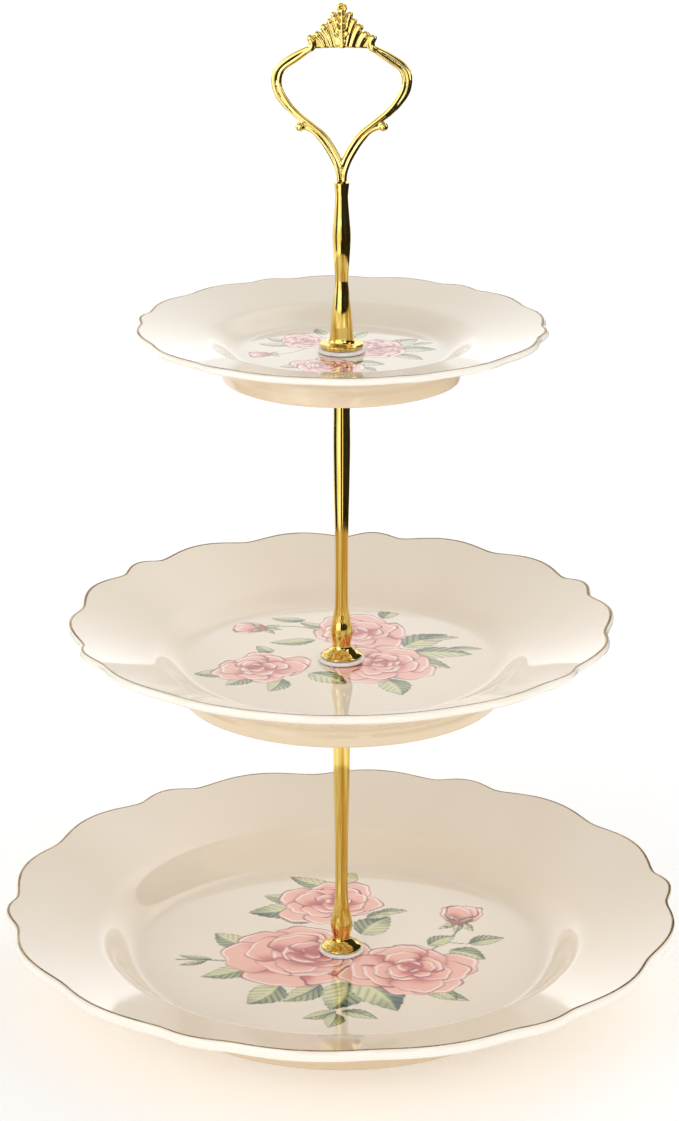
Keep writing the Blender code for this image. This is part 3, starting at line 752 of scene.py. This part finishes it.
def skinned(name, rings, body, material, node, closed=False):
    """A piece from rings about Z, over a CAD solid. Open rings get flat ends."""
    faces, _ = rings.faces(closed)
    if not closed:
        last, sides = rings.starts[-1], rings.counts[-1]
        faces += [tuple(range(sides)), tuple(last + i for i in reversed(range(sides)))]
    outward = [tuple(reversed(face)) for face in faces]
    return new_piece(name, np.concatenate(rings.points), outward, [material], body, node)


def turned(name, outline, body, material, node, closed=False):
    """A piece turned about Z. A closed outline goes once round the section."""
    rings = Rings()
    for radius, z in outline:
        rings.add(SIDES, radius, z)
    made = skinned(name, rings, body, material, node, closed)
    made.data.set_sharp_from_angle(angle=math.radians(SHARP_TURNED))


def column(name, body, material, outline, foot_r, length, top_r, top_bore):
    """A gold rod or stem over its CAD solid, with a blind bore in each end."""
    base_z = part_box(name)[0][2] / MM
    side = smooth_path([(0.0, foot_r)] + outline + [(length, top_r)], OUTLINE_STEPS)
    bore_r, bore_depth = top_bore
    points = [(BORE_R, base_z + BORE_DEPTH), (BORE_R, base_z)]
    points += [(radius, base_z + height) for height, radius in side]
    points += [(bore_r, base_z + length), (bore_r, base_z + length - bore_depth)]
    turned(name + "_plated", points, body, material, name)


def rounded_ring(node, body, material):
    """A washer or gasket over its CAD solid, with rounded corners."""
    low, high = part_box(node)
    base, top, outer = low[2] / MM, high[2] / MM, high[0] / MM
    rounding = min(RING_ROUNDING, (top - base) / 3)
    outline = []
    corners = ((RING_BORE_R, base, 1, 1, 180), (outer, base, -1, 1, 270), (outer, top, -1, -1, 0),
               (RING_BORE_R, top, 1, -1, 90))
    for x, z, inward, upward, first in corners:
        for k in range(CORNER_ARCS + 1):
            angle = math.radians(first + 90 * k / CORNER_ARCS)
            outline.append((x + inward * rounding + rounding * math.cos(angle),
                            z + upward * rounding + rounding * math.sin(angle)))
    turned(node + "_rounded", outline, body, material, node, closed=True)


def thread(rings, low, high):
    """Rings of a cut thread from low to high, fading out at both ends."""
    count = math.ceil((high - low) / PITCH * THREAD_STEPS)
    for k in range(count + 1):
        z = low + (high - low) * k / count
        fade = min(1.0, (z - low) / THREAD_FADE, (high - z) / THREAD_FADE)

        def radius(angle, z=z, fade=fade):
            phase = (z / PITCH - angle / (2 * math.pi)) % 1.0
            return THREAD_R - THREAD_DEPTH * (1 - np.abs(2 * phase - 1)) - THREAD_TAPER * (1 - fade)

        rings.add(THREAD_SIDES, radius, z)


def stud(node, body, material):
    """A threaded stud over its CAD solid."""
    low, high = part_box(node)
    rings = Rings()
    thread(rings, low[2] / MM, high[2] / MM)
    made = skinned(node + "_threaded", rings, body, material, node)
    made.data.set_sharp_from_angle(angle=math.radians(SHARP_THREAD))


def modified(piece, kind, **settings):
    """Adds a modifier to a piece and applies it."""
    modifier = piece.modifiers.new(kind.lower(), kind)
    for key, value in settings.items():
        setattr(modifier, key, value)
    bpy.context.view_layer.update()
    evaluated = piece.evaluated_get(bpy.context.evaluated_depsgraph_get())
    mesh = bpy.data.meshes.new_from_object(evaluated)
    piece.modifiers.clear()
    piece.data = mesh


def bolt(node, body, material):
    """The fixing bolt under the bottom plate: a domed head with a cross recess, and a threaded shank."""
    low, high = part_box(node)
    base, top = low[2] / MM, high[2] / MM
    rings = Rings()
    for height, radius in smooth_path(BOLT_DOME, BOLT_DOME_STEPS):
        rings.add(THREAD_SIDES, radius, base + height)
    rings.add(THREAD_SIDES, BOLT_HEAD_R - BOLT_BEVEL, base + BOLT_HEAD)
    rings.add(THREAD_SIDES, THREAD_R + BOLT_NECK, base + BOLT_HEAD)
    thread(rings, base + BOLT_HEAD + BOLT_NECK_LEN, top)
    made = skinned(node + "_threaded", rings, body, material, node)
    for half_x, half_y in ((RECESS_HALF_W, RECESS_HALF_LEN), (RECESS_HALF_LEN, RECESS_HALF_W)):
        cutter_mesh = bmesh.new()
        bmesh.ops.create_cube(cutter_mesh, size=2.0)
        for vert in cutter_mesh.verts:
            taper = RECESS_TAPER if vert.co.z > 0 else 1.0
            vert.co = Vector((vert.co.x * half_x * taper, vert.co.y * half_y * taper,
                              base + vert.co.z * RECESS_DEPTH)) * MM
        data = bpy.data.meshes.new("cutter")
        cutter_mesh.to_mesh(data)
        cutter_mesh.free()
        cutter = placed("cutter", data)
        modified(made, "BOOLEAN", operation="DIFFERENCE", solver="EXACT", object=cutter)
        bpy.data.objects.remove(cutter, do_unlink=True)
    made.data.set_sharp_from_angle(angle=math.radians(SHARP_TURNED))


# ---------------------------------------------------------------- crown handle

def spread(values, count):
    """Values read evenly along a short list, with straight lines between its entries."""
    return np.interp(np.linspace(0, len(values) - 1, count), range(len(values)), values)


class Casting:
    """Overlapping closed shapes, which become one skin."""

    def __init__(self, base_z):
        self.base_z = base_z
        self.points = []
        self.faces = []

    def take(self, points, faces):
        start = len(self.points)
        self.points += [(x, y, z + self.base_z) for x, y, z in points]
        self.faces += [tuple(start + i for i in face) for face in faces]

    def strand(self, path_points, half_widths, half_depths, square=2.0, steps=STRAND_STEPS):
        """A strand along a curve in the XZ plane. square is 2 for an oval section and more for a boxy one."""
        path = smooth_path(path_points, steps)
        widths, depths = spread(half_widths, len(path)), spread(half_depths, len(path))
        points = []
        faces = []
        for i, centre in enumerate(path):
            ahead = path[min(i + 1, len(path) - 1)] - path[max(i - 1, 0)]
            across = np.array([ahead[1], -ahead[0]]) / np.hypot(*ahead)
            for k in range(STRAND_SIDES):
                angle = 2 * math.pi * k / STRAND_SIDES
                c, s = math.cos(angle), math.sin(angle)
                wide = math.copysign(abs(c) ** (2 / square), c) * widths[i]
                deep = math.copysign(abs(s) ** (2 / square), s) * depths[i]
                points.append((centre[0] + across[0] * wide, deep, centre[1] + across[1] * wide))
        for i in range(len(path) - 1):
            for k in range(STRAND_SIDES):
                a, b = i * STRAND_SIDES, (i + 1) * STRAND_SIDES
                j = (k + 1) % STRAND_SIDES
                faces.append((a + k, a + j, b + j, b + k))
        last = (len(path) - 1) * STRAND_SIDES
        faces += [tuple(reversed(range(STRAND_SIDES))), tuple(last + k for k in range(STRAND_SIDES))]
        self.take(points, faces)

    def ball(self, x, y, z, wide, deep, tall):
        bm = bmesh.new()
        bmesh.ops.create_icosphere(bm, subdivisions=4, radius=1.0)
        points = [(x + v.co.x * wide, y + v.co.y * deep, z + v.co.z * tall) for v in bm.verts]
        faces = [tuple(v.index for v in f.verts) for f in bm.faces]
        bm.free()
        self.take(points, faces)

    def slab(self, outline, half_depth):
        """A flat plate from an outline in the XZ plane."""
        count = len(outline)
        points = [(x, -half_depth, z) for x, z in outline] + [(x, half_depth, z) for x, z in outline]
        faces = [(i, (i + 1) % count, count + (i + 1) % count, count + i) for i in range(count)]
        faces += [tuple(reversed(range(count))), tuple(range(count, 2 * count))]
        self.take(points, faces)


def crown(material):
    """The scroll loop with its curled legs, the fan of petals, and the tenon that goes into the stem."""
    base_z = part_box("handle_stem")[1][2] / MM
    cast = Casting(base_z)
    for side in (-1, 1):
        def mirror(points):
            return [(side * x, z) for x, z in points]

        cast.strand(mirror(LEG_STRAND), LEG_HALF_WIDTH, LEG_HALF_DEPTH)
        cast.strand(mirror(INNER_STRAND), INNER_HALF_WIDTH, INNER_HALF_DEPTH)
        cast.strand(mirror(OUTER_BAND), OUTER_HALF_WIDTH, OUTER_HALF_DEPTH, OUTER_SQUARENESS)
        cast.ball(side * CURL_BALL[0], 0.0, CURL_BALL[1], CURL_BALL_R, CURL_BALL_R, CURL_BALL_R)
        cast.strand(mirror(CURL_WEB), CURL_WEB_HALF_WIDTH, CURL_WEB_HALF_DEPTH)
        for root, bend, tip, root_width, tip_width in PETALS:
            cast.strand(mirror([root, bend, tip]), [root_width, tip_width], PETAL_HALF_DEPTH)
            bulb = PETAL_BULB * tip_width
            cast.ball(side * tip[0], 0.0, tip[1], bulb, PETAL_BULB_DEPTH, bulb)
        cast.strand(mirror(VOLUTE), VOLUTE_HALF_WIDTH, VOLUTE_HALF_DEPTH)
        cast.ball(side * VOLUTE[-1][0], 0.0, VOLUTE[-1][1], *VOLUTE_END)
        for k in range(CHEVRONS):
            z = CHEVRON_FIRST + k * CHEVRON_RISE
            reach = CHEVRON_REACH * (1 - CHEVRON_SHRINK * k)
            chevron = [(CHEVRON_START, z), (0.5 * reach, z + CHEVRON_BEND), (reach, z + CHEVRON_TIP)]
            cast.strand(mirror(chevron), CHEVRON_HALF_WIDTH, CHEVRON_HALF_DEPTH)
    cast.slab(WEB + [(-x, z) for x, z in reversed(WEB[:-1])] + WEB_FOOT, WEB_HALF_DEPTH)
    cast.strand(MIDRIB, MIDRIB_HALF_WIDTH, MIDRIB_HALF_DEPTH)
    around = [2 * math.pi * k / KNOB_RING_STEPS for k in range(KNOB_RING_STEPS + 2)]
    loop = [(KNOB_RING_R * math.sin(a), KNOB_Z + KNOB_RING_R * math.cos(a)) for a in around]
    cast.strand(loop, [KNOB_TUBE] * 2, [KNOB_HALF_DEPTH] * 2)
    cast.ball(0.0, 0.0, KNOB_Z, *KNOB_FLOOR)
    cast.ball(0.0, -KNOB_LIP_FORWARD, KNOB_Z - KNOB_LIP_DROP, *KNOB_LIP)
    cast.strand(LEG_WEB, LEG_WEB_HALF_WIDTH, LEG_WEB_HALF_DEPTH)
    cast.strand(TENON, [TENON_R] * 2, [TENON_R] * 2)
    made = new_piece("crown_casting", cast.points, cast.faces, [material], "handle", "crown_handle")
    modified(made, "REMESH", mode="VOXEL", voxel_size=CROWN_VOXEL * MM, use_smooth_shade=True)
    modified(made, "SMOOTH", factor=0.5, iterations=CROWN_SMOOTHING)
    made.data.materials.clear()
    made.data.materials.append(material)
    made.data.shade_smooth()


# ---------------------------------------------------------------- stage

CAMERA_PLACE_M = (0.0, -1.126, 0.5547)
CAMERA_PITCH = 71.25
CAMERA_YAW = 0.04
CAMERA_LENS = 102.2
CAMERA_SENSOR = 36.0
FLOOR_HALF_M = 6.0
FLOOR_WHITE = (0.97, 0.97, 0.97)
FLOOR_GLOW = 0.18  # keeps the floor white where the stand shades it
SKY_LOW = 1.88  # glow of the studio at the horizon and overhead
SKY_HIGH = 0.22
# A soft patch of light high behind the stand, which shows where a well turns into its brim.
PATCH_TOWARDS = (0.43, 0.51, 0.74)
PATCH_GLOW = 1.0
PATCH_EDGE = 0.90  # cosines of the angles at which it starts and is full
PATCH_FULL = 0.995
# Soft lights: name, place, width and height in metres, and watts. They face LIGHT_AIM_M.
SOFTBOXES = [("key_softbox", (-1.2, -1.3, 0.95), (1.0, 1.2), 4.5),
             ("fill_softbox", (1.3, -0.8, 0.9), (0.8, 1.0), 1.8)]
LIGHT_AIM_M = (0.0, 0.0, 0.15)
STAGE_ROUGHNESS = 0.9
SCREEN_R_M = 0.27
SCREEN_STEP = 4.0
SCREEN_DARK = (0.012, 0.010, 0.007)
# Screens: start and end azimuth in degrees, from the camera's side to the right; lower and upper edge in
# metres; glow, which is 0 for a dark one.
SCREENS = [(-12.0, 10.0, 0.03, 0.228, 0.0), (10.0, 18.0, 0.03, 0.16, 1.8), (10.0, 18.0, 0.16, 0.55, 0.0),
           (18.0, 148.0, 0.03, 0.31, 0.0), (18.0, 40.0, 0.31, 0.37, 2.4), (40.0, 148.0, 0.31, 0.37, 0.0),
           (18.0, 74.0, 0.37, 0.55, 0.0), (74.0, 96.0, 0.37, 0.55, 2.4), (96.0, 148.0, 0.37, 0.55, 0.0),
           (-46.0, -28.0, 0.03, 0.55, 2.2), (-122.0, -70.0, 0.03, 0.165, 0.0), (-4.0, 10.0, 0.228, 0.31, 0.0),
           (-84.0, -62.0, 0.2, 0.31, 0.0)]


def camera():
    data = bpy.data.cameras.new("camera")
    data.lens = CAMERA_LENS
    data.sensor_width = CAMERA_SENSOR
    made = placed("camera", data)
    made.location = CAMERA_PLACE_M
    made.rotation_euler = (math.radians(CAMERA_PITCH), 0.0, math.radians(CAMERA_YAW))
    bpy.context.scene.camera = made


def backdrop(name, points, faces, colour, glow):
    """A rough surface that may glow."""
    mesh = bpy.data.meshes.new(name)
    mesh.from_pydata(points, [], faces)
    finish = Finish(name, Roughness=STAGE_ROUGHNESS)
    finish.shader.inputs["Base Color"].default_value = (*colour, 1.0)
    finish.shader.inputs["Emission Color"].default_value = (1.0, 1.0, 1.0, 1.0)
    finish.shader.inputs["Emission Strength"].default_value = glow
    mesh.materials.append(finish.material)
    return placed(name, mesh)


def floor():
    far = FLOOR_HALF_M
    corners = [(-far, -far, 0), (far, -far, 0), (far, far, 0), (-far, far, 0)]
    made = backdrop("floor", corners, [(0, 1, 2, 3)], FLOOR_WHITE, FLOOR_GLOW)


def screen(name, start, end, low, high, glow):
    """An upright screen round the stand, from one azimuth to another, that only reflections see."""
    count = math.ceil(abs(end - start) / SCREEN_STEP) + 1
    points = []
    for azimuth in np.radians(np.linspace(start, end, count)):
        x, y = SCREEN_R_M * math.sin(azimuth), -SCREEN_R_M * math.cos(azimuth)
        points += [(x, y, low), (x, y, high)]
    faces = [(2 * i, 2 * i + 2, 2 * i + 3, 2 * i + 1) for i in range(count - 1)]
    made = backdrop(name, points, faces, SCREEN_DARK, glow)
    made.visible_camera = False
    made.visible_diffuse = False
    made.visible_shadow = False


def area_light(name, place, size, power):
    data = bpy.data.lights.new(name, "AREA")
    data.shape = "RECTANGLE"
    data.size, data.size_y = size
    data.energy = power
    made = placed(name, data)
    made.location = place
    towards = Vector(LIGHT_AIM_M) - Vector(place)
    made.rotation_euler = towards.to_track_quat("-Z", "Y").to_euler()


def sky():
    """White light from all round, strongest at the horizon, with a soft patch behind."""
    world = bpy.data.worlds.new("studio")
    world.use_nodes = True
    background = world.node_tree.nodes["Background"]
    background.inputs["Color"].default_value = (1.0, 1.0, 1.0, 1.0)
    tree = world.node_tree
    direction = tree.nodes.new("ShaderNodeTexCoord")
    parts = tree.nodes.new("ShaderNodeSeparateXYZ")
    tree.links.new(direction.outputs["Generated"], parts.inputs["Vector"])
    strength = tree.nodes.new("ShaderNodeMapRange")
    strength.inputs["To Min"].default_value = SKY_LOW
    strength.inputs["To Max"].default_value = SKY_HIGH
    tree.links.new(parts.outputs["Z"], strength.inputs["Value"])
    facing = tree.nodes.new("ShaderNodeVectorMath")
    facing.operation = "DOT_PRODUCT"
    facing.inputs[1].default_value = PATCH_TOWARDS
    tree.links.new(direction.outputs["Generated"], facing.inputs[0])
    patch = tree.nodes.new("ShaderNodeMapRange")
    patch.interpolation_type = "SMOOTHSTEP"
    patch.inputs["From Min"].default_value = PATCH_EDGE
    patch.inputs["From Max"].default_value = PATCH_FULL
    patch.inputs["To Max"].default_value = PATCH_GLOW
    tree.links.new(facing.outputs["Value"], patch.inputs["Value"])
    total = tree.nodes.new("ShaderNodeMath")
    tree.links.new(strength.outputs["Result"], total.inputs[0])
    tree.links.new(patch.outputs["Result"], total.inputs[1])
    tree.links.new(total.outputs["Value"], background.inputs["Strength"])
    bpy.context.scene.world = world


def stage():
    floor()
    sky()
    for name, place, size, power in SOFTBOXES:
        area_light(name, place, size, power)
    for number, (start, end, low, high, glow) in enumerate(SCREENS):
        screen("screen_" + str(number), start, end, low, high, glow)
    bpy.context.scene.view_settings.view_transform = "Standard"


# ---------------------------------------------------------------- the object

glaze = porcelain_finish()
gold_line = mottled_finish("gold_line", LINE_GOLD, LINE_BROWN, tone=90.0, rough=(200.0, 0.22, 0.4),
                           grain=(700.0, 0.05, 0.3), Metallic=0.55)
rod_gold = rod_gold_finish()
cast_gold = cast_gold_finish()
bright_steel = mottled_finish("bright_steel", STEEL, STEEL_DARK, tone=300.0, rough=(900.0, 0.2, 0.36),
                              grain=(1500.0, 0.03, 0.25), Metallic=1.0)
white_rubber = mottled_finish("white_rubber", RUBBER, RUBBER_GREY, tone=400.0, rough=(900.0, 0.45, 0.62),
                              grain=(1800.0, 0.04, 0.3), IOR=1.45)

camera()
stage()
plate("bottom", "bottom_tier", [glaze, gold_line])
plate("middle", "lower_column", [glaze, gold_line])
plate("top", "upper_column", [glaze, gold_line])
for rod_name in ("lower", "upper"):
    column(rod_name + "_rod", rod_name + "_column", rod_gold, ROD_OUTLINE, ROD_FOOT_R, ROD_LEN, ROD_TOP_R,
           (BORE_R, BORE_DEPTH))
    stud(rod_name + "_stud", rod_name + "_column", bright_steel)
column("handle_stem", "handle", rod_gold, STEM_OUTLINE, STEM_FOOT_R, STEM_LEN, STEM_TOP_R,
       (SOCKET_R, SOCKET_DEPTH))
crown(cast_gold)
bolt("base_bolt", "bottom_tier", bright_steel)
for tier_name, carrier, seal in (("bottom", "bottom_tier", "lower_seal"),
                                 ("middle", "lower_column", "upper_seal"),
                                 ("top", "upper_column", "handle_seal")):
    rounded_ring(tier_name + "_washer", carrier, bright_steel)
    rounded_ring(tier_name + "_under_gasket", carrier, white_rubber)
    rounded_ring(tier_name + "_flange_gasket", seal, white_rubber)

bpy.context.view_layer.update()
